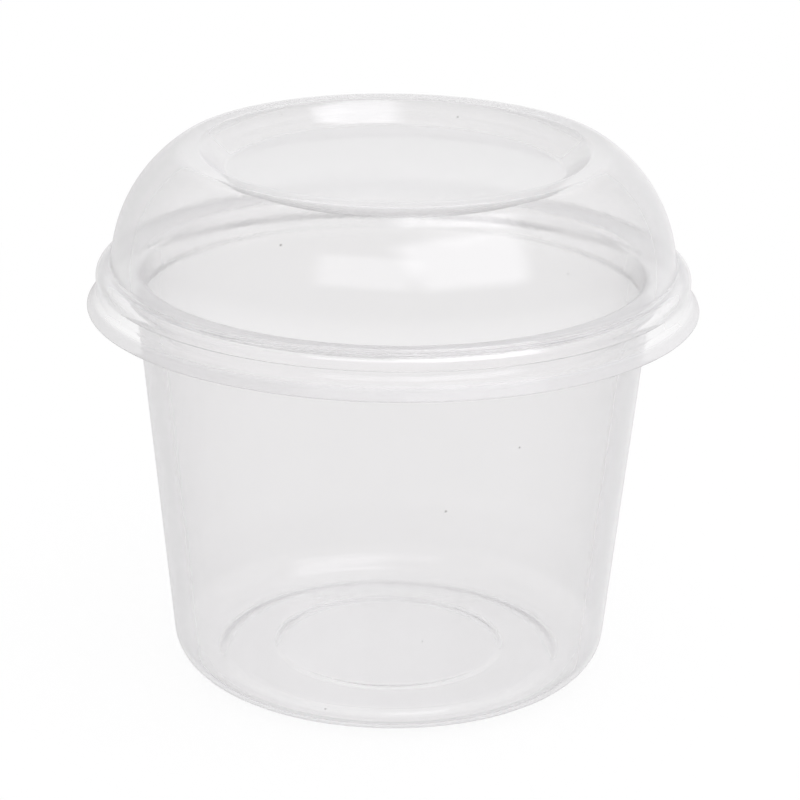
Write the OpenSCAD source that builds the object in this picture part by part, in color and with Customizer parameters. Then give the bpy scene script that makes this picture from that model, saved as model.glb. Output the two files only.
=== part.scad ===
// Clear dessert bowl with a domed lid that snaps over its rim.
// Each piece is one thin sheet formed over a mould. Its section is drawn as a line of
// corners, the corners are rounded, the line gets the sheet's thickness, and the
// section is turned about the Z axis.
// Millimetres, +Z up. The origin is on the table, at the centre of the foot ring.

/* [Bowl] */
// Height of the bowl, from the table to the top of its rim
bowl_h = 71.5; // [60:0.5:85]
// Inside diameter of the mouth
mouth_d = 85.2; // [80:0.2:92]
// Outside diameter of the base, where the wall's line would meet the table
base_d = 73.8; // [66:0.2:80]
// Thickness of the bowl's sheet
bowl_t = 0.6; // [0.4:0.05:0.8]
// Outside radius of the corner between the wall and the base
corner_r = 6.5; // [4:0.5:9]

/* [Base of the bowl] */
// Width of the flat ring that the bowl stands on
foot_w = 1.6; // [1:0.1:3]
// Height of the base panel above the table
panel_rise = 1.0; // [0.6:0.1:1.6]
// Width of the slope between the foot ring and the base panel
panel_slope_w = 1.4; // [1:0.1:2.5]
// Diameter of the raised disc in the middle of the base panel
disc_d = 38; // [24:1:44]
// Height of the raised disc above the base panel
disc_rise = 0.4; // [0.2:0.05:0.6]

/* [Rim of the bowl] */
// Width of the rim, from the inside of the mouth to its outer edge
rim_w = 7.25; // [6:0.25:9]
// Radius of the rim's rounded outer edge
rim_round = 1.5; // [1:0.1:2]
// Height of the lip that the rim's outer edge turns down into
lip_h = 2.4; // [2.2:0.1:3.2]
// Radius of the rounded edge between the mouth and the rim
mouth_round = 1.6; // [1.2:0.1:2]
// Height of the stacking collar, from its step to the top of the rim
collar_h = 5.3; // [4:0.1:8]
// How far the collar steps in from the wall below it
collar_step = 0.65; // [0.4:0.05:1]
// How far the collar opens out between its step and the rim
collar_draft = 0.2; // [0:0.05:0.4]

/* [Lid] */
// Thickness of the lid's sheet
lid_t = 0.4; // [0.25:0.05:0.6]
// Height of the dome, from the ledge on the rim to the top of the ring
dome_h = 20; // [16:0.5:26]
// Radius of the dome's curve, seen from the side
dome_arc_r = 24.4; // [20:0.2:34]
// Diameter of the ring on top of the lid, at its outer crease
ring_d = 73; // [68:0.5:78]
// Diameter of the ring's inner crease, where the recess begins
recess_d = 65.8; // [62:0.2:67]
// Diameter of the flat panel at the bottom of the recess
panel_d = 57; // [48:0.5:60]
// Depth of the recess below the top of the ring
recess_h = 3.7; // [2:0.1:6]

/* [Skirt of the lid] */
// Clearance between the bowl's rim and the lid's neck, all round
rim_gap = 0.1; // [0.05:0.01:0.2]
// How far the neck below the shoulder steps in
neck_in = 0.1; // [0.05:0.01:0.3]
// Width of the flat ledge between the dome and the rounded shoulder
ledge_w = 0.7; // [0.5:0.1:1.5]
// Height of the skirt, from the ledge to the neck
skirt_h = 4.2; // [3.8:0.1:6]
// Height of the flare, from the neck to the brim
flare_h = 1.7; // [1:0.1:3]
// Width of the flare
flare_w = 0.85; // [0.5:0.05:1.5]
// Height of the thin brim that ends the skirt
brim_h = 0.8; // [0.4:0.05:1.5]
// Width of the brim
brim_w = 0.8; // [0.5:0.05:1.5]

/* [Hidden] */

// Fineness of the turned form, degrees in a step of a rounded corner, steps of the dome
$fn = 180;
corner_deg = 10;
dome_steps = 16;
// Radius of the small creases in each sheet, on the side where the corner points
bowl_crease = 1.2;
lid_crease = 0.8;
// Radius of the hollow crease at the foot of the dome
dome_foot_r = 0.5;
// Height over which the wall steps in to the collar
collar_rise = 0.9;

// Outside radii of the bowl
base_r = base_d / 2;
collar_top_r = mouth_d / 2 + bowl_t;
collar_low_r = collar_top_r - collar_draft;
wall_top_r = collar_low_r + collar_step;
rim_r = mouth_d / 2 + rim_w;
// Heights of the collar's step and of the top of the wall below it
step_z = bowl_h - collar_h;
wall_top_z = step_z - collar_rise;

// The corner takes this much of the base, and the foot ring lies inside it
corner_run = corner_r * tan((90 - atan2(wall_top_r - base_r, wall_top_z)) / 2);
foot_r = base_r - corner_run - foot_w;

// The lid's sheet lies on the rim, and its shoulder runs round the rim's edge
ledge_z = bowl_h + lid_t;
neck_r = rim_r + rim_gap + lid_t;
skirt_r = neck_r + neck_in;
shoulder_r = rim_round + lid_t;
dome_r = skirt_r - shoulder_r - ledge_w;
ring_z = ledge_z + dome_h;
neck_z = ledge_z - skirt_h;
flare_z = neck_z - flare_h;

function unit(v) = v / norm(v);
function left_of(v) = [-v[1], v[0]];
function reversed(list) = [for (i = [len(list) - 1 : -1 : 0]) list[i]];

// Points on an arc about centre c, from angle a over a sweep, in n steps
function arc(c, r, a, sweep, n) =
    [for (k = [0 : n]) c + r * [cos(a + sweep * k / n), sin(a + sweep * k / n)]];

// The arc of radius r that rounds the corner p between a and b
function corner_arc(a, p, b, r) =
    let (
        back = unit(a - p),
        ahead = unit(b - p),
        half = acos(back * ahead) / 2,
        centre = p + unit(back + ahead) * r / sin(half),
        start = p + back * r / tan(half) - centre,
        turn = cross(ahead, back) > 0 ? 1 : -1,
        sweep = turn * (180 - 2 * half)
    )
    arc(centre, r, atan2(start[1], start[0]), sweep, ceil(abs(sweep) / corner_deg));

function xy(corner) = [corner[0], corner[1]];

// A line of corners [x, z, radius] as points, each corner rounded by its radius
function rounded(corners) =
    [for (i = [0 : len(corners) - 1])
        each corners[i][2] == 0
            ? [xy(corners[i])]
            : corner_arc(xy(corners[i - 1]), xy(corners[i]), xy(corners[i + 1]), corners[i][2])];

// The line moved sideways by d, to the left of its run where d is positive
function beside(line, d) =
    let (
        last = len(line) - 1,
        side = [for (i = [0 : last - 1]) left_of(unit(line[i + 1] - line[i]))]
    )
    [for (i = [0 : last])
        let (before = side[max(i - 1, 0)], after = side[min(i, last - 1)])
        line[i] + d * (before + after) / (1 + before * after)];

// Centre of the arc of radius r from p to q that bulges away from the axis
function arc_centre(p, q, r) =
    let (middle = (p + q) / 2, half = norm(q - p) / 2)
    middle + left_of(unit(p - q)) * sqrt(r * r - half * half);

// Turns a section line into a sheet of thickness d
module turned_sheet(line, d) {
    rotate_extrude() polygon(concat(line, reversed(beside(line, d))));
}

// The underside and outside of the bowl, from the axis to the edge of its lip
bowl_line = rounded([
    [0, panel_rise + disc_rise, 0],
    [disc_d / 2, panel_rise + disc_rise, bowl_crease],
    [disc_d / 2 + 2 * disc_rise, panel_rise, bowl_crease],
    [foot_r - panel_slope_w, panel_rise, bowl_crease],
    [foot_r, 0, bowl_crease],
    [base_r, 0, corner_r],
    [wall_top_r, wall_top_z, bowl_crease],
    [collar_low_r, step_z, bowl_crease / 2],
    [collar_top_r, bowl_h - bowl_t, mouth_round - bowl_t],
    [rim_r - bowl_t, bowl_h - bowl_t, rim_round - bowl_t],
    [rim_r - bowl_t, bowl_h - lip_h, 0]
]);

// The dome's curve, from the ring's outer crease down to the ledge
dome_top = [ring_d / 2, ring_z];
dome_foot = [dome_r, ledge_z];
dome_c = arc_centre(dome_top, dome_foot, dome_arc_r);
dome_a0 = atan2(dome_top[1] - dome_c[1], dome_top[0] - dome_c[0]);
dome_a1 = atan2(dome_foot[1] - dome_c[1], dome_foot[0] - dome_c[0]);
dome_points = arc(dome_c, dome_arc_r, dome_a0, dome_a1 - dome_a0, dome_steps);

// The top and outside of the lid, from the axis to the edge of its brim
lid_line = rounded(concat(
    [
        [0, ring_z - recess_h, 0],
        [panel_d / 2, ring_z - recess_h, lid_crease],
        [recess_d / 2, ring_z, lid_crease],
        [ring_d / 2, ring_z, lid_crease]
    ],
    [for (k = [1 : dome_steps - 1]) [dome_points[k][0], dome_points[k][1], 0]],
    [
        [dome_r, ledge_z, dome_foot_r],
        [skirt_r, ledge_z, shoulder_r],
        [neck_r, neck_z, lid_crease],
        [neck_r + flare_w, neck_z - flare_h, lid_crease],
        [neck_r + flare_w + brim_w, flare_z - brim_h, 0]
    ]
));

module bowl() {
    color([0.93, 0.93, 0.94, 0.6]) turned_sheet(bowl_line, bowl_t);
}

module lid() {
    color([0.88, 0.90, 0.93, 0.5]) turned_sheet(lid_line, -lid_t);
}

bowl();
lid();
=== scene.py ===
"""Clear dessert bowl with a domed lid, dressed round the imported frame.

Each piece is one formed sheet: its section is drawn as a wire of rounded corners, turned
about the Z axis and given the sheet's thickness. Metres, +Z up, origin under the bowl.
"""

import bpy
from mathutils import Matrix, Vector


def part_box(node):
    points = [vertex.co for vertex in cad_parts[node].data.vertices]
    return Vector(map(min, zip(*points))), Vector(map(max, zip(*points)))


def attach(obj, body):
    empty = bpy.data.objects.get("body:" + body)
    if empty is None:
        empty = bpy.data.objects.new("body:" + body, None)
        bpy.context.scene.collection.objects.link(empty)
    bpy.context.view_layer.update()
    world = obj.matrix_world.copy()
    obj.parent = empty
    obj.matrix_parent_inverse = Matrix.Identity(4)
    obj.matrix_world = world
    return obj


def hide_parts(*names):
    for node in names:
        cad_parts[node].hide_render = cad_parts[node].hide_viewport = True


bl_info = {
    "name": "Dessert Bowl With Lid",
    "version": (1, 0, 0),
    "blender": (4, 5, 0),
    "location": "View3D > Sidebar > Dessert Bowl",
    "description": "Makes a clear formed dessert bowl, its domed lid and a plain studio",
    "category": "Add Mesh",
}

import math

import bmesh
import bpy
from bpy.props import FloatProperty, FloatVectorProperty, IntProperty, PointerProperty
from mathutils import Matrix, Vector, noise

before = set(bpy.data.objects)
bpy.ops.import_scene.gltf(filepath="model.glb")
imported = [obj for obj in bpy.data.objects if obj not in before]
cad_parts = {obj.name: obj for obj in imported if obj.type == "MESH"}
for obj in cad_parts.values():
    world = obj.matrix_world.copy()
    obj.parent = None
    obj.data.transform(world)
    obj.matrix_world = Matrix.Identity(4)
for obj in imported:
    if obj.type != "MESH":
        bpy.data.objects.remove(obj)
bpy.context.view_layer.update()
BOWL_LOW, BOWL_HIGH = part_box("bowl")
LID_LOW, LID_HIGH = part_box("lid")

MM = 0.001
FULL_TURN = 2 * math.pi
# Edges of a sheet that turn more than this are its cut edge, and get rounded
CUT_TURN = math.radians(50)
# Distance from a seat at which a sheet's waves have their full height
CALM_REACH = 6 * MM

# Places along the sheets where their colours change; the lighter zones of tint and haze there are
# painted light, and the darker brim is painted shade. On the bowl a place is the radius plus
# a share of the height, which tells the places up its steep wall apart.
RAMP_REACH = 75 * MM
BOWL_RISE_SHARE = 0.3
BASE_END, WALL_START, WALL_END, COLLAR, RIM = (
    at * MM for at in (31.0, 35.5, 62.3, 63.2, 65.5)
)
# On the lid a place is the radius alone
LID_RISE_SHARE = 0.0
PANEL_END, RING_START, RING_END, DOME_START = (at * MM for at in (28.0, 29.5, 36.0, 38.0))
DOME_END, SKIRT, NECK, FLARE = (at * MM for at in (46.9, 47.9, 50.5, 51.0))

# Light that runs along inside a sheet is reflected many times before it comes out
SHEET_BOUNCES = 96
SHADOW_BOUNCES = 32

# Values of a noise between which the gloss changes, and its detail
GLOSS_NOISE = (0.35, 0.7)
GLOSS_DETAIL = 4.0
RIPPLE_DETAIL = 3.0
RIPPLE_STRENGTH = 0.5
# Share of a speck's radius that has its full colour
SPECK_CORE = 0.6
# Sockets of a Mix node that mixes colours
MIX_FACTOR, MIX_FIRST, MIX_SECOND, MIX_RESULT = 0, 6, 7, 2

# Softboxes that face the lid, with angles in degrees, sizes in metres and a level where 1
# is white. The turn is from the front to the right.
LAMPS = {
    "front_right": {
        "turn": 39.0, "rise": 46.5, "spin": -8.0, "wide": 1.20, "high": 1.06, "level": 1.7,
    },
    "front_left": {
        "turn": -13.0, "rise": 41.5, "spin": 0.0, "wide": 0.98, "high": 0.64, "level": 1.1,
    },
    "overhead": {
        "turn": 85.0, "rise": 74.0, "spin": 20.0, "wide": 0.34, "high": 0.90, "level": 1.75,
    },
    "link": {
        "turn": 65.0, "rise": 67.0, "spin": 0.0, "wide": 0.80, "high": 0.50, "level": 0.4,
    },
}
LAMP_DISTANCE = 1.2
SENSOR_WIDTH = 36.0
FLOOR_DROP = 0.05 * MM


def length(name, description, millimetres):
    """A length property with a default in millimetres."""
    return FloatProperty(
        name=name, description=description, default=millimetres * MM,
        min=0.0, precision=5, subtype="DISTANCE", unit="LENGTH",
    )


def colour(name, description, value):
    """A colour property."""
    return FloatVectorProperty(
        name=name, description=description, default=value,
        min=0.0, max=1.0, size=3, subtype="COLOR",
    )


def number(name, description, value, low=0.0, high=10.0):
    """A plain number property."""
    return FloatProperty(name=name, description=description, default=value, min=low, max=high)


def angle(name, description, degrees):
    """An angle property with a default in degrees."""
    return FloatProperty(
        name=name, description=description, default=math.radians(degrees), subtype="ANGLE",
    )


class BowlSizes(bpy.types.PropertyGroup):
    """Sizes of the bowl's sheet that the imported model's box doesn't give."""

    sheet: length("Sheet", "Thickness of the bowl's sheet", 0.6)
    mouth: length("Mouth", "Inside radius of the mouth", 42.6)
    base: length("Base", "Outside radius where the wall's line meets the table", 36.9)
    corner: length("Corner", "Outside radius of the corner between wall and base", 6.5)
    foot: length("Foot", "Width of the flat ring that the bowl stands on", 1.6)
    panel_rise: length("Panel Rise", "Height of the base panel above the table", 1.0)
    panel_slope: length("Panel Slope", "Width of the slope up to the base panel", 1.4)
    disc: length("Disc", "Radius of the raised disc in the base panel", 19.0)
    disc_rise: length("Disc Rise", "Height of the disc above the base panel", 0.4)
    rim_round: length("Rim Round", "Radius of the rim's rounded outer edge", 1.5)
    mouth_round: length("Mouth Round", "Radius of the edge between mouth and rim", 1.6)
    lip: length("Lip", "Height of the lip that the rim turns down into", 2.4)
    collar: length("Collar", "Height of the stacking collar under the rim", 5.3)
    collar_step: length("Collar Step", "How far the collar steps in from the wall", 0.65)
    collar_draft: length("Collar Draft", "How far the collar opens towards the rim", 0.2)
    collar_rise: length("Collar Rise", "Height over which the wall steps in", 0.9)
    crease: length("Crease", "Radius of the small creases", 1.2)
    foot_crease: length("Foot Crease", "Radius of the creases at the foot ring", 2.2)


class LidSizes(bpy.types.PropertyGroup):
    """Sizes of the lid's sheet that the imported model's box doesn't give."""

    sheet: length("Sheet", "Thickness of the lid's sheet with the air under it", 0.4)
    seat_gap: length("Seat Gap", "Air left between the lid's underside and the rim", 0.08)
    panel: length("Panel", "Radius of the flat panel in the recess", 28.5)
    recess: length("Recess", "Radius of the ring's inner crease", 32.9)
    recess_depth: length("Recess Depth", "Depth of the recess below the ring", 3.7)
    ring: length("Ring", "Radius of the ring's outer crease", 36.5)
    dome_curve: length("Dome Curve", "Radius of the dome's curve, seen from the side", 24.4)
    dome_foot: length("Dome Foot", "Radius of the hollow crease at the dome's foot", 0.5)
    ledge: length("Ledge", "Width of the flat ledge round the dome", 0.7)
    skirt: length("Skirt", "Height of the skirt, from the ledge to the neck", 4.2)
    neck_in: length("Neck", "How far the neck steps in below the shoulder", 0.1)
    flare: length("Flare", "Height of the flare below the neck", 1.7)
    flare_width: length("Flare Width", "Width of the flare", 0.85)
    brim_width: length("Brim Width", "Width of the thin brim that ends the skirt", 0.8)
    crease: length("Crease", "Radius of the small creases", 0.8)
    ring_crease: length("Ring Crease", "Radius of the ring's outer crease", 2.6)
    recess_crease: length("Recess Crease", "Radius of the creases of the recess", 1.3)


class SheetMaking(bpy.types.PropertyGroup):
    """How finely the turned sheets are drawn, and how even they are."""

    turns: IntProperty(name="Steps", description="Steps of a full turn", default=240, min=24)
    spacing: length("Spacing", "Longest step along a section", 1.2)
    round_step: angle("Round Step", "Turn of one step round a corner", 7.5)
    dome_steps: IntProperty(name="Dome Steps", description="Steps of the dome's curve", default=28)
    edge_round: length("Edge Round", "Radius that softens the sheet's cut edge", 0.12)
    wave: length("Wave", "Height of the slow waves left by forming", 0.05)
    wave_length: length("Wave Length", "Distance over which the sheet's waves change", 16.0)


class PlasticFinish(bpy.types.PropertyGroup):
    """Finish of the clear sheets; some of their tints and hazes are painted light and painted
    shade.
    """

    bowl_tint: colour("Bowl Tint", "What the bowl's wall lets through", (0.900, 0.894, 0.897))
    lid_tint: colour("Lid Tint", "What the lid's dome lets through", (0.898, 0.893, 0.895))
    # The ring, base, collar and rim tints let more through than wall and dome: painted light that
    # lifts the shade of stacked sheets and of the floor's shadow under the base.
    ring_tint_painted_light: colour("Ring Tint", "What the lid's ring lets through", (0.985, 0.98, 0.983))
    base_tint_painted_light: colour("Base Tint", "What the base lets through", (0.985, 0.983, 0.984))
    collar_tint_painted_light: colour("Collar Tint", "What the collar lets through", (0.97, 0.965, 0.968))
    rim_tint_painted_light: colour("Rim Tint", "What rim and skirt let through", (0.98, 0.977, 0.979))
    # The brim tint, brim haze and brim cloud darken the flare and brim: painted shade.
    brim_tint_painted_shade: colour("Brim Tint", "What flare and brim let through", (0.94, 0.935, 0.938))
    # The haze greys the sheets towards a slant: a faint haze, and a painted shade on their edges.
    haze_and_edge_shade: colour("Haze", "Colour of the faint haze on the sheets", (0.745, 0.738, 0.741))
    brim_haze_painted_shade: colour("Brim Haze", "Haze on the flare and brim", (0.67, 0.662, 0.665))
    # The pale haze keeps the base and rim light: painted light.
    pale_haze_painted_light: colour("Pale Haze", "Haze on the base and rim", (0.80, 0.795, 0.798))
    haze_and_edge_shade_power: number("Haze Power", "How suddenly the haze shows towards a slant", 2.5)
    brim_cloud_painted_shade: number("Brim Cloud", "Share of haze on the flare and brim", 0.6, high=1.0)
    smooth: number("Smooth", "Roughness of the glossiest places", 0.03, high=1.0)
    dull: number("Dull", "Roughness of the dullest places", 0.08, high=1.0)
    gloss_scale: number("Gloss Scale", "Changes of gloss in a metre", 90.0, high=1000.0)
    ior: number("IOR", "How much the plastic bends light", 1.49, low=1.0)
    ripple: length("Ripple", "Height of the fine ripple", 0.03)
    ripple_scale: number("Ripple Scale", "Ripples in a metre", 220.0, high=1000.0)
    ripple_stretch: number("Ripple Stretch", "How much longer ripples are upright", 5.0, low=1.0)
    specks: number("Specks", "Cells with a speck, in a metre", 90.0, high=1000.0)
    speck_radius: length("Speck Radius", "Radius of a speck", 0.28)
    speck_colour: colour("Speck Colour", "What a speck lets through", (0.35, 0.34, 0.33))
    shadow_pass: colour("Shadow Pass", "What a sheet's shadow lets by", (0.93, 0.93, 0.935))


class StudioLook(bpy.types.PropertyGroup):
    """The floor, the lamps and the camera."""

    floor_radius: length("Floor", "Radius of the plain floor", 3000.0)
    floor_share: number("Shadow Share", "Share of the floor that takes lamps and shadow", 0.12)
    shadow_reach: length("Shadow Reach", "Distance at which the floor is plain white", 260.0)
    world_level: number("World", "Level of the soft light from all round", 0.8)
    lamp_colour: colour("Lamp Colour", "Colour of the softboxes", (0.965, 0.96, 1.0))
    soft_edge: number("Soft Edge", "Share of a softbox over which its edge fades", 0.22, high=0.5)
    lens: number("Lens", "Focal length in millimetres, for a 36 mm sensor", 153.6, high=500.0)
    camera_place: FloatVectorProperty(
        name="Camera", description="Place of the camera",
        default=(0.0014, -0.5532, 0.2427), subtype="XYZ", unit="LENGTH",
    )
    camera_tilt: angle("Camera Tilt", "Tilt of the camera below the horizon", 19.49)
    camera_roll: angle("Camera Roll", "Turn of the camera about its line of sight", 0.85)


def rounded_wire(corners, making):
    """A wire in the XZ plane through corners (radius, height, rounding), with them rounded."""
    points = [Vector((r, 0.0, z)) for r, z, _ in corners]
    bm = bmesh.new()
    verts = [bm.verts.new(p) for p in points]
    for pair in zip(verts, verts[1:]):
        bm.edges.new(pair)
    for i in range(1, len(corners) - 1):
        rounding = corners[i][2]
        if rounding > 0.0:
            turn = (points[i] - points[i - 1]).angle(points[i + 1] - points[i])
            bmesh.ops.bevel(
                bm, geom=[verts[i]], offset=rounding * math.tan(turn / 2), offset_type="OFFSET",
                segments=max(2, math.ceil(turn / making.round_step)), profile=0.5,
                affect="VERTICES", material=-1, clamp_overlap=False,
            )
    for edge in bm.edges[:]:
        cuts = math.ceil(edge.calc_length() / making.spacing) - 1
        if cuts > 0:
            bmesh.ops.subdivide_edges(bm, edges=[edge], cuts=cuts)
    return bm


def turned_sheet(bm, thickness, pole_up, making):
    """Turns a wire into an outer skin and gives it the sheet's thickness on the other side."""
    bmesh.ops.spin(
        bm, geom=bm.verts[:] + bm.edges[:], cent=(0, 0, 0), axis=(0, 0, 1),
        angle=FULL_TURN, steps=making.turns, use_merge=True, use_duplicate=False,
    )
    bmesh.ops.remove_doubles(bm, verts=bm.verts[:], dist=0.001 * MM)
    bmesh.ops.recalc_face_normals(bm, faces=bm.faces[:])
    pole = min(bm.faces, key=lambda face: face.calc_center_median().to_2d().length)
    if (pole.normal.z > 0) != pole_up:
        bmesh.ops.reverse_faces(bm, faces=bm.faces[:])
    bm.normal_update()
    for vert in bm.verts:
        wave = noise.noise(vert.co / making.wave_length + vert.co.normalized())
        vert.co -= vert.normal * making.wave * 0.5 * (1 + wave) * calm(vert.co)
    bm.normal_update()
    bmesh.ops.solidify(bm, geom=bm.faces[:], thickness=thickness)
    cut_edge = [e for e in bm.edges if e.is_manifold and e.calc_face_angle(0.0) > CUT_TURN]
    bmesh.ops.bevel(
        bm, geom=cut_edge, offset=making.edge_round, offset_type="OFFSET", segments=3,
        profile=0.5, affect="EDGES", material=-1, clamp_overlap=True,
    )


def calm(place):
    """How freely the sheet waves at a place: not at all where it stands or seats."""
    seats = (BOWL_LOW.z, BOWL_HIGH.z)
    away = min(abs(place.z - z) for z in seats)
    return min(1.0, away / CALM_REACH)


def bowl_corners(sizes):
    """The underside and outside of the bowl, from the axis to the edge of its lip."""
    rim = BOWL_HIGH.x
    top = BOWL_HIGH.z
    collar_top = sizes.mouth + sizes.sheet
    collar_low = collar_top - sizes.collar_draft
    wall_top = collar_low + sizes.collar_step
    step_z = top - sizes.collar
    wall_z = step_z - sizes.collar_rise
    lean = math.pi / 2 - math.atan2(wall_top - sizes.base, wall_z)
    foot = sizes.base - sizes.corner * math.tan(lean / 2) - sizes.foot
    return [
        (0.0, sizes.panel_rise + sizes.disc_rise, 0.0),
        (sizes.disc, sizes.panel_rise + sizes.disc_rise, sizes.crease),
        (sizes.disc + 2 * sizes.disc_rise, sizes.panel_rise, sizes.crease),
        (foot - sizes.panel_slope, sizes.panel_rise, sizes.foot_crease),
        (foot, 0.0, sizes.foot_crease),
        (sizes.base, 0.0, sizes.corner),
        (wall_top, wall_z, sizes.crease),
        (collar_low, step_z, sizes.crease / 2),
        (collar_top, top - sizes.sheet, sizes.mouth_round - sizes.sheet),
        (rim - sizes.sheet, top - sizes.sheet, sizes.rim_round - sizes.sheet),
        (rim - sizes.sheet, top - sizes.lip, 0.0),
    ]


def dome_points(start, end, curve, steps):
    """Points between start and end, in (radius, height), on an arc that bulges outwards."""
    middle = (start + end) / 2
    chord = end - start
    outwards = Vector((-chord.y, chord.x)).normalized()
    if outwards.x < 0:
        outwards.negate()
    centre = middle - outwards * math.sqrt(curve**2 - (chord.length / 2) ** 2)
    first = (start - centre).angle_signed(Vector((1, 0)))
    last = (end - centre).angle_signed(Vector((1, 0)))
    # The first step is left out, to leave room for the rounding at the start
    for k in range(2, steps):
        at = first + (last - first) * k / steps
        yield (centre.x + curve * math.cos(at), centre.y + curve * math.sin(at), 0.0)


def lid_corners(sizes, bowl, making):
    """The top and outside of the lid, from the axis to the edge of its brim."""
    top = LID_HIGH.z
    ledge_z = BOWL_HIGH.z + sizes.sheet
    neck = LID_HIGH.x - sizes.flare_width - sizes.brim_width
    neck_z = ledge_z - sizes.skirt
    skirt = neck + sizes.neck_in
    shoulder = bowl.rim_round + sizes.sheet
    dome = skirt - shoulder - sizes.ledge
    curve = dome_points(
        Vector((sizes.ring, top)), Vector((dome, ledge_z)), sizes.dome_curve, making.dome_steps,
    )
    return [
        (0.0, top - sizes.recess_depth, 0.0),
        (sizes.panel, top - sizes.recess_depth, sizes.recess_crease),
        (sizes.recess, top, sizes.recess_crease),
        (sizes.ring, top, sizes.ring_crease),
        *curve,
        (dome, ledge_z, sizes.dome_foot),
        (skirt, ledge_z, shoulder),
        (neck, neck_z, sizes.crease),
        (neck + sizes.flare_width, neck_z - sizes.flare, sizes.crease),
        (LID_HIGH.x, LID_LOW.z, 0.0),
    ]


def add_piece(name, bm, material, body, node):
    """Makes a mesh object from bm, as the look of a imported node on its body."""
    mesh = bpy.data.meshes.new(name)
    bm.to_mesh(mesh)
    bm.free()
    mesh.shade_smooth()
    mesh.materials.append(material)
    piece = bpy.data.objects.new(name, mesh)
    bpy.context.scene.collection.objects.link(piece)
    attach(piece, body)
    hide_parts(node)
    return piece


def opaque(value):
    """A colour with full alpha, for a colour socket."""
    return (*value, 1.0)


def new_material(name):
    """An empty node material, with its nodes, a link maker and its output."""
    material = bpy.data.materials.new(name)
    material.use_nodes = True
    material.node_tree.nodes.clear()
    nodes = material.node_tree.nodes
    return material, nodes, material.node_tree.links.new, nodes.new("ShaderNodeOutputMaterial")


def math_node(nodes, link, operation, *values):
    """The result of a Math node, whose values are numbers or other nodes' outputs."""
    node = nodes.new("ShaderNodeMath")
    node.operation = operation
    for socket, value in zip(node.inputs, values):
        if isinstance(value, bpy.types.NodeSocket):
            link(value, socket)
        else:
            socket.default_value = value
    return node.outputs[0]


def map_range(nodes, link, value, start, end, kind="LINEAR"):
    """Maps the value from start (low, high) to end (low, high)."""
    node = nodes.new("ShaderNodeMapRange")
    node.interpolation_type = kind
    node.inputs["From Min"].default_value, node.inputs["From Max"].default_value = start
    node.inputs["To Min"].default_value, node.inputs["To Max"].default_value = end
    link(value, node.inputs["Value"])
    return node.outputs["Result"]


def mix_shaders(nodes, link, share, first, second):
    """The two shaders mixed, with the second one's share."""
    node = nodes.new("ShaderNodeMixShader")
    link(share, node.inputs["Fac"])
    link(first, node.inputs[1])
    link(second, node.inputs[2])
    return node.outputs["Shader"]


def object_place(nodes):
    """The place on the piece, in its own coordinates."""
    return nodes.new("ShaderNodeTexCoord").outputs["Object"]


def noise_on_object(nodes, link, scale, detail, stretch=1.0):
    """A noise over the piece's own coordinates, in waves per metre, stretched upright."""
    drawn = nodes.new("ShaderNodeMapping")
    drawn.inputs["Scale"].default_value = (1.0, 1.0, 1.0 / stretch)
    link(object_place(nodes), drawn.inputs["Vector"])
    cloud = nodes.new("ShaderNodeTexNoise")
    cloud.inputs["Scale"].default_value = scale
    cloud.inputs["Detail"].default_value = detail
    link(drawn.outputs["Vector"], cloud.inputs["Vector"])
    return cloud.outputs["Fac"]


def along_sheet(nodes, link, rise_share, stops):
    """A colour that changes along a sheet, through stops of a place and a colour."""
    place = object_place(nodes)
    level = nodes.new("ShaderNodeVectorMath")
    level.operation = "MULTIPLY"
    level.inputs[1].default_value = (1.0 / RAMP_REACH, 1.0 / RAMP_REACH, 0.0)
    link(place, level.inputs[0])
    radius = nodes.new("ShaderNodeVectorMath")
    radius.operation = "LENGTH"
    link(level.outputs["Vector"], radius.inputs[0])
    split = nodes.new("ShaderNodeSeparateXYZ")
    link(place, split.inputs["Vector"])
    ramp = nodes.new("ShaderNodeValToRGB")
    elements = ramp.color_ramp.elements
    while len(elements) < len(stops):
        elements.new(0.5)
    for element, (at, value) in zip(elements, stops):
        element.position = at / RAMP_REACH
        element.color = opaque(value)
    measure = math_node(
        nodes, link, "MULTIPLY_ADD",
        split.outputs["Z"], rise_share / RAMP_REACH, radius.outputs["Value"],
    )
    link(measure, ramp.inputs["Fac"])
    return ramp.outputs["Color"]


def with_specks(nodes, link, tint_with_painted_light_and_shade, finish):
    """The tint, with its painted light and painted shade, and a few small dark specks, such as a
    formed sheet has.
    """
    cells = nodes.new("ShaderNodeTexVoronoi")
    cells.inputs["Scale"].default_value = finish.specks
    link(object_place(nodes), cells.inputs["Vector"])
    edge = finish.speck_radius * finish.specks
    clear = map_range(nodes, link, cells.outputs["Distance"], (SPECK_CORE * edge, edge), (0, 1))
    mix = nodes.new("ShaderNodeMix")
    mix.data_type = "RGBA"
    mix.inputs[MIX_FIRST].default_value = opaque(finish.speck_colour)
    link(clear, mix.inputs[MIX_FACTOR])
    link(tint_with_painted_light_and_shade, mix.inputs[MIX_SECOND])
    return mix.outputs[MIX_RESULT]


def fine_ripple(nodes, link, finish):
    """A normal with the fine upright ripple of a drawn sheet."""
    ripple = nodes.new("ShaderNodeBump")
    ripple.inputs["Strength"].default_value = RIPPLE_STRENGTH
    ripple.inputs["Distance"].default_value = finish.ripple
    height = noise_on_object(
        nodes, link, finish.ripple_scale, RIPPLE_DETAIL, finish.ripple_stretch,
    )
    link(height, ripple.inputs["Height"])
    return ripple.outputs["Normal"]


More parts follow.
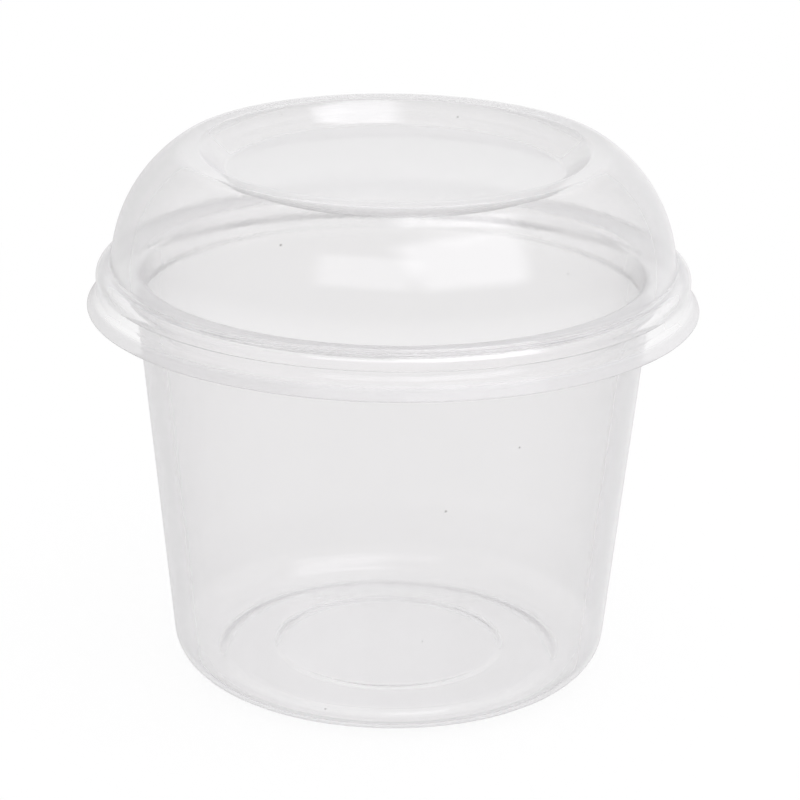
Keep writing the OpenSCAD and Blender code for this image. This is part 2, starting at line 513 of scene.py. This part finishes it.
def haze_and_edge_shade_share(nodes, link, rise_share, painted_shade_clouds, finish):
    """How much haze and painted edge shade shows: most at a slant and where clouded, none from
    inside the sheet.
    """
    slant = nodes.new("ShaderNodeLayerWeight")
    slant.inputs["Blend"].default_value = 0.5
    share = math_node(nodes, link, "POWER", slant.outputs["Facing"], finish.haze_and_edge_shade_power)
    # The clouds grey the flare and brim: painted shade.
    if painted_shade_clouds:
        cloud = along_sheet(nodes, link, rise_share, painted_shade_clouds)
        share = math_node(nodes, link, "MAXIMUM", share, cloud)
    side = nodes.new("ShaderNodeNewGeometry")
    outside = math_node(nodes, link, "SUBTRACT", 1.0, side.outputs["Backfacing"])
    return math_node(nodes, link, "MULTIPLY", share, outside)


def clear_plastic(name, rise_share, tints_with_painted_light_and_shade, hazes_with_painted_light_and_shade, painted_shade_clouds, finish):
    """Clear formed sheet: a faint grey tint with zones of painted light and shade, a haze at a
    slant that also paints shade on the edges, and lamps shine through it.
    """
    material, nodes, link, output = new_material(name)
    plastic = nodes.new("ShaderNodeBsdfPrincipled")
    plastic.inputs["Transmission Weight"].default_value = 1.0
    plastic.inputs["IOR"].default_value = finish.ior
    tint_with_painted_light_and_shade = along_sheet(nodes, link, rise_share, tints_with_painted_light_and_shade)
    link(with_specks(nodes, link, tint_with_painted_light_and_shade, finish), plastic.inputs["Base Color"])
    gloss = noise_on_object(nodes, link, finish.gloss_scale, GLOSS_DETAIL)
    roughness = map_range(nodes, link, gloss, GLOSS_NOISE, (finish.smooth, finish.dull))
    link(roughness, plastic.inputs["Roughness"])
    link(fine_ripple(nodes, link, finish), plastic.inputs["Normal"])

    # Grey diffuse at a slant: a faint haze, and painted shade on the sheets' edges.
    haze_and_edge_shade = nodes.new("ShaderNodeBsdfDiffuse")
    link(along_sheet(nodes, link, rise_share, hazes_with_painted_light_and_shade), haze_and_edge_shade.inputs["Color"])
    share = haze_and_edge_shade_share(nodes, link, rise_share, painted_shade_clouds, finish)
    sheet = mix_shaders(nodes, link, share, plastic.outputs["BSDF"], haze_and_edge_shade.outputs["BSDF"])

    path = nodes.new("ShaderNodeLightPath")
    passing = nodes.new("ShaderNodeBsdfTransparent")
    passing.inputs["Color"].default_value = opaque(finish.shadow_pass)
    either = mix_shaders(
        nodes, link, path.outputs["Is Shadow Ray"], sheet, passing.outputs["BSDF"],
    )
    link(either, output.inputs["Surface"])
    return material


def seen_directly(nodes, link):
    """1 for the camera and for what it sees in or through the plastic, otherwise 0."""
    path = nodes.new("ShaderNodeLightPath")
    seen = path.outputs["Is Camera Ray"]
    for kind in ("Is Glossy Ray", "Is Transmission Ray"):
        seen = math_node(nodes, link, "MAXIMUM", seen, path.outputs[kind])
    return seen


def pale_floor(look):
    """White floor: mostly plain white where it is seen, with a share that takes the shadow."""
    material, nodes, link, output = new_material("pale_floor")
    paint = nodes.new("ShaderNodeBsdfDiffuse")
    paint.inputs["Color"].default_value = opaque((1.0, 1.0, 1.0))
    white = nodes.new("ShaderNodeEmission")
    white.inputs["Color"].default_value = opaque((1.0, 1.0, 1.0))
    away = nodes.new("ShaderNodeVectorMath")
    away.operation = "LENGTH"
    link(object_place(nodes), away.inputs[0])
    plain = map_range(
        nodes, link, away.outputs["Value"],
        (0.0, look.shadow_reach), (1.0 - look.floor_share, 1.0), "SMOOTHSTEP",
    )
    share = math_node(nodes, link, "MULTIPLY", seen_directly(nodes, link), plain)
    floor = mix_shaders(nodes, link, share, paint.outputs["BSDF"], white.outputs["Emission"])
    link(floor, output.inputs["Surface"])
    return material


def white_world(look):
    """Soft light from all round, plain white where it is seen."""
    world = bpy.data.worlds.new("studio")
    world.use_nodes = True
    nodes, link = world.node_tree.nodes, world.node_tree.links.new
    nodes.clear()
    output = nodes.new("ShaderNodeOutputWorld")
    soft = nodes.new("ShaderNodeBackground")
    soft.inputs["Strength"].default_value = look.world_level
    white = nodes.new("ShaderNodeBackground")
    for background in (soft, white):
        background.inputs["Color"].default_value = opaque((1.0, 1.0, 1.0))
    sky = mix_shaders(
        nodes, link, seen_directly(nodes, link),
        soft.outputs["Background"], white.outputs["Background"],
    )
    link(sky, output.inputs["Surface"])
    bpy.context.scene.world = world


def softbox(name, look, turn, rise, spin, wide, high, level):
    """A rectangular softbox that faces the lid."""
    aim = Vector((0.0, 0.0, LID_HIGH.z))
    turn, rise = math.radians(turn), math.radians(rise)
    towards = Vector((
        math.sin(turn) * math.cos(rise), -math.cos(turn) * math.cos(rise), math.sin(rise),
    ))
    light = bpy.data.lights.new(name, "AREA")
    light.shape = "RECTANGLE"
    light.size, light.size_y = wide, high
    light.energy = level * math.pi * wide * high
    fade_edges(light, look)
    lamp = bpy.data.objects.new(name, light)
    facing = towards.to_track_quat("Z", "Y").to_matrix().to_4x4()
    lamp.matrix_world = (
        Matrix.Translation(aim + towards * LAMP_DISTANCE) @ facing
        @ Matrix.Rotation(math.radians(spin), 4, "Z")
    )
    bpy.context.scene.collection.objects.link(lamp)


def fade_edges(light, look):
    """Lets a softbox fade towards its edges, over a share of its size."""
    light.use_nodes = True
    nodes, link = light.node_tree.nodes, light.node_tree.links.new
    nodes.clear()
    output = nodes.new("ShaderNodeOutputLight")
    glow = nodes.new("ShaderNodeEmission")
    glow.inputs["Color"].default_value = opaque(look.lamp_colour)
    across = nodes.new("ShaderNodeNewGeometry")
    split = nodes.new("ShaderNodeSeparateXYZ")
    link(across.outputs["Parametric"], split.inputs["Vector"])
    fades = []
    for axis in ("X", "Y"):
        off = math_node(nodes, link, "SUBTRACT", split.outputs[axis], 0.5)
        away = math_node(nodes, link, "ABSOLUTE", off)
        start = (0.5, 0.5 - look.soft_edge)
        fades.append(map_range(nodes, link, away, start, (0.0, 1.0), "SMOOTHSTEP"))
    link(math_node(nodes, link, "MULTIPLY", *fades), glow.inputs["Strength"])
    link(glow.outputs["Emission"], output.inputs["Surface"])


def make_camera(look):
    """The camera at the photograph's place, tilt and roll."""
    data = bpy.data.cameras.new("camera")
    data.lens = look.lens
    data.sensor_width = SENSOR_WIDTH
    camera = bpy.data.objects.new("camera", data)
    tilt = Matrix.Rotation(math.pi / 2 - look.camera_tilt, 4, "X")
    roll = Matrix.Rotation(look.camera_roll, 4, "Z")
    camera.matrix_world = Matrix.Translation(look.camera_place) @ tilt @ roll
    bpy.context.scene.collection.objects.link(camera)
    bpy.context.scene.camera = camera


class DESSERT_OT_bowl(bpy.types.Operator):
    """Make the bowl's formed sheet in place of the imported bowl"""

    bl_idname = "dessert.bowl"
    bl_label = "Bowl"

    def execute(self, context):
        sizes, making = context.scene.dessert_bowl, context.scene.dessert_making
        finish = context.scene.dessert_finish
        wire = rounded_wire(bowl_corners(sizes), making)
        turned_sheet(wire, sizes.sheet, False, making)
        # The lighter base, collar and rim tints are painted light over the floor's shadow and the
        # stacked rim.
        tints_with_painted_light_and_shade = (
            (BASE_END, finish.base_tint_painted_light), (WALL_START, finish.bowl_tint),
            (WALL_END, finish.bowl_tint), (COLLAR, finish.collar_tint_painted_light), (RIM, finish.rim_tint_painted_light),
        )
        # The pale haze on base and rim is painted light; the haze on the wall greys its edges, a
        # painted shade.
        hazes_with_painted_light_and_shade = (
            (BASE_END, finish.pale_haze_painted_light), (WALL_START, finish.haze_and_edge_shade),
            (WALL_END, finish.haze_and_edge_shade), (RIM, finish.pale_haze_painted_light),
        )
        plastic = clear_plastic("bowl_plastic", BOWL_RISE_SHARE, tints_with_painted_light_and_shade, hazes_with_painted_light_and_shade, None, finish)
        add_piece("bowl_sheet", wire, plastic, "bowl", "bowl")
        return {"FINISHED"}


class DESSERT_OT_lid(bpy.types.Operator):
    """Make the lid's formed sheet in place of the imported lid"""

    bl_idname = "dessert.lid"
    bl_label = "Lid"

    def execute(self, context):
        sizes, making = context.scene.dessert_lid, context.scene.dessert_making
        finish = context.scene.dessert_finish
        wire = rounded_wire(lid_corners(sizes, context.scene.dessert_bowl, making), making)
        turned_sheet(wire, sizes.sheet - sizes.seat_gap, True, making)
        # The lighter ring and rim tints are painted light over creased and stacked sheets; the
        # darker brim tint is painted shade.
        tints_with_painted_light_and_shade = (
            (PANEL_END, finish.lid_tint), (RING_START, finish.ring_tint_painted_light),
            (RING_END, finish.ring_tint_painted_light), (DOME_START, finish.lid_tint),
            (DOME_END, finish.lid_tint), (SKIRT, finish.rim_tint_painted_light),
            (NECK, finish.rim_tint_painted_light), (FLARE, finish.brim_tint_painted_shade),
        )
        # The brim's grey haze and its cloud of haze are painted shade.
        hazes_with_painted_light_and_shade = ((NECK, finish.haze_and_edge_shade), (FLARE, finish.brim_haze_painted_shade))
        painted_shade_clouds = ((NECK, (0.0, 0.0, 0.0)), (FLARE, (finish.brim_cloud_painted_shade,) * 3))
        plastic = clear_plastic("lid_plastic", LID_RISE_SHARE, tints_with_painted_light_and_shade, hazes_with_painted_light_and_shade, painted_shade_clouds, finish)
        add_piece("lid_sheet", wire, plastic, "lid", "lid")
        return {"FINISHED"}


class DESSERT_OT_studio(bpy.types.Operator):
    """Make the pale floor, the soft light and the camera"""

    bl_idname = "dessert.studio"
    bl_label = "Studio"

    def execute(self, context):
        scene = context.scene
        look = scene.dessert_studio
        bm = bmesh.new()
        bmesh.ops.create_circle(bm, cap_ends=True, segments=64, radius=look.floor_radius)
        bmesh.ops.translate(bm, verts=bm.verts[:], vec=(0, 0, BOWL_LOW.z - FLOOR_DROP))
        mesh = bpy.data.meshes.new("floor")
        bm.to_mesh(mesh)
        bm.free()
        mesh.materials.append(pale_floor(look))
        floor = bpy.data.objects.new("floor", mesh)
        scene.collection.objects.link(floor)
        white_world(look)
        for name, place in LAMPS.items():
            softbox(name, look, **place)
        make_camera(look)
        scene.view_settings.view_transform = "Standard"
        scene.cycles.max_bounces = SHEET_BOUNCES
        scene.cycles.transmission_bounces = SHEET_BOUNCES
        scene.cycles.glossy_bounces = SHEET_BOUNCES
        scene.cycles.transparent_max_bounces = SHADOW_BOUNCES
        return {"FINISHED"}


class DESSERT_PT_panel(bpy.types.Panel):
    """The pieces of the dessert bowl, in the sidebar"""

    bl_label = "Dessert Bowl"
    bl_space_type = "VIEW_3D"
    bl_region_type = "UI"
    bl_category = "Dessert Bowl"

    def draw(self, context):
        for operator in OPERATORS:
            self.layout.operator(operator.bl_idname)
        for group in GROUPS:
            box = self.layout.box()
            settings = getattr(context.scene, group)
            for key in settings.bl_rna.properties.keys():
                if key not in {"rna_type", "name"}:
                    box.prop(settings, key)


GROUPS = {
    "dessert_bowl": BowlSizes,
    "dessert_lid": LidSizes,
    "dessert_making": SheetMaking,
    "dessert_finish": PlasticFinish,
    "dessert_studio": StudioLook,
}
OPERATORS = (DESSERT_OT_bowl, DESSERT_OT_lid, DESSERT_OT_studio)


def register():
    """Registers the classes and puts the settings on the scene."""
    for group in GROUPS.values():
        bpy.utils.register_class(group)
    for cls in (*OPERATORS, DESSERT_PT_panel):
        bpy.utils.register_class(cls)
    for name, group in GROUPS.items():
        setattr(bpy.types.Scene, name, PointerProperty(type=group))


def unregister():
    """Takes the settings and the classes away again."""
    for name in GROUPS:
        delattr(bpy.types.Scene, name)
    for cls in (*GROUPS.values(), *OPERATORS, DESSERT_PT_panel):
        bpy.utils.unregister_class(cls)


def main():
    register()
    bpy.ops.dessert.bowl()
    bpy.ops.dessert.lid()
    bpy.ops.dessert.studio()


if __name__ == "__main__":
    main()
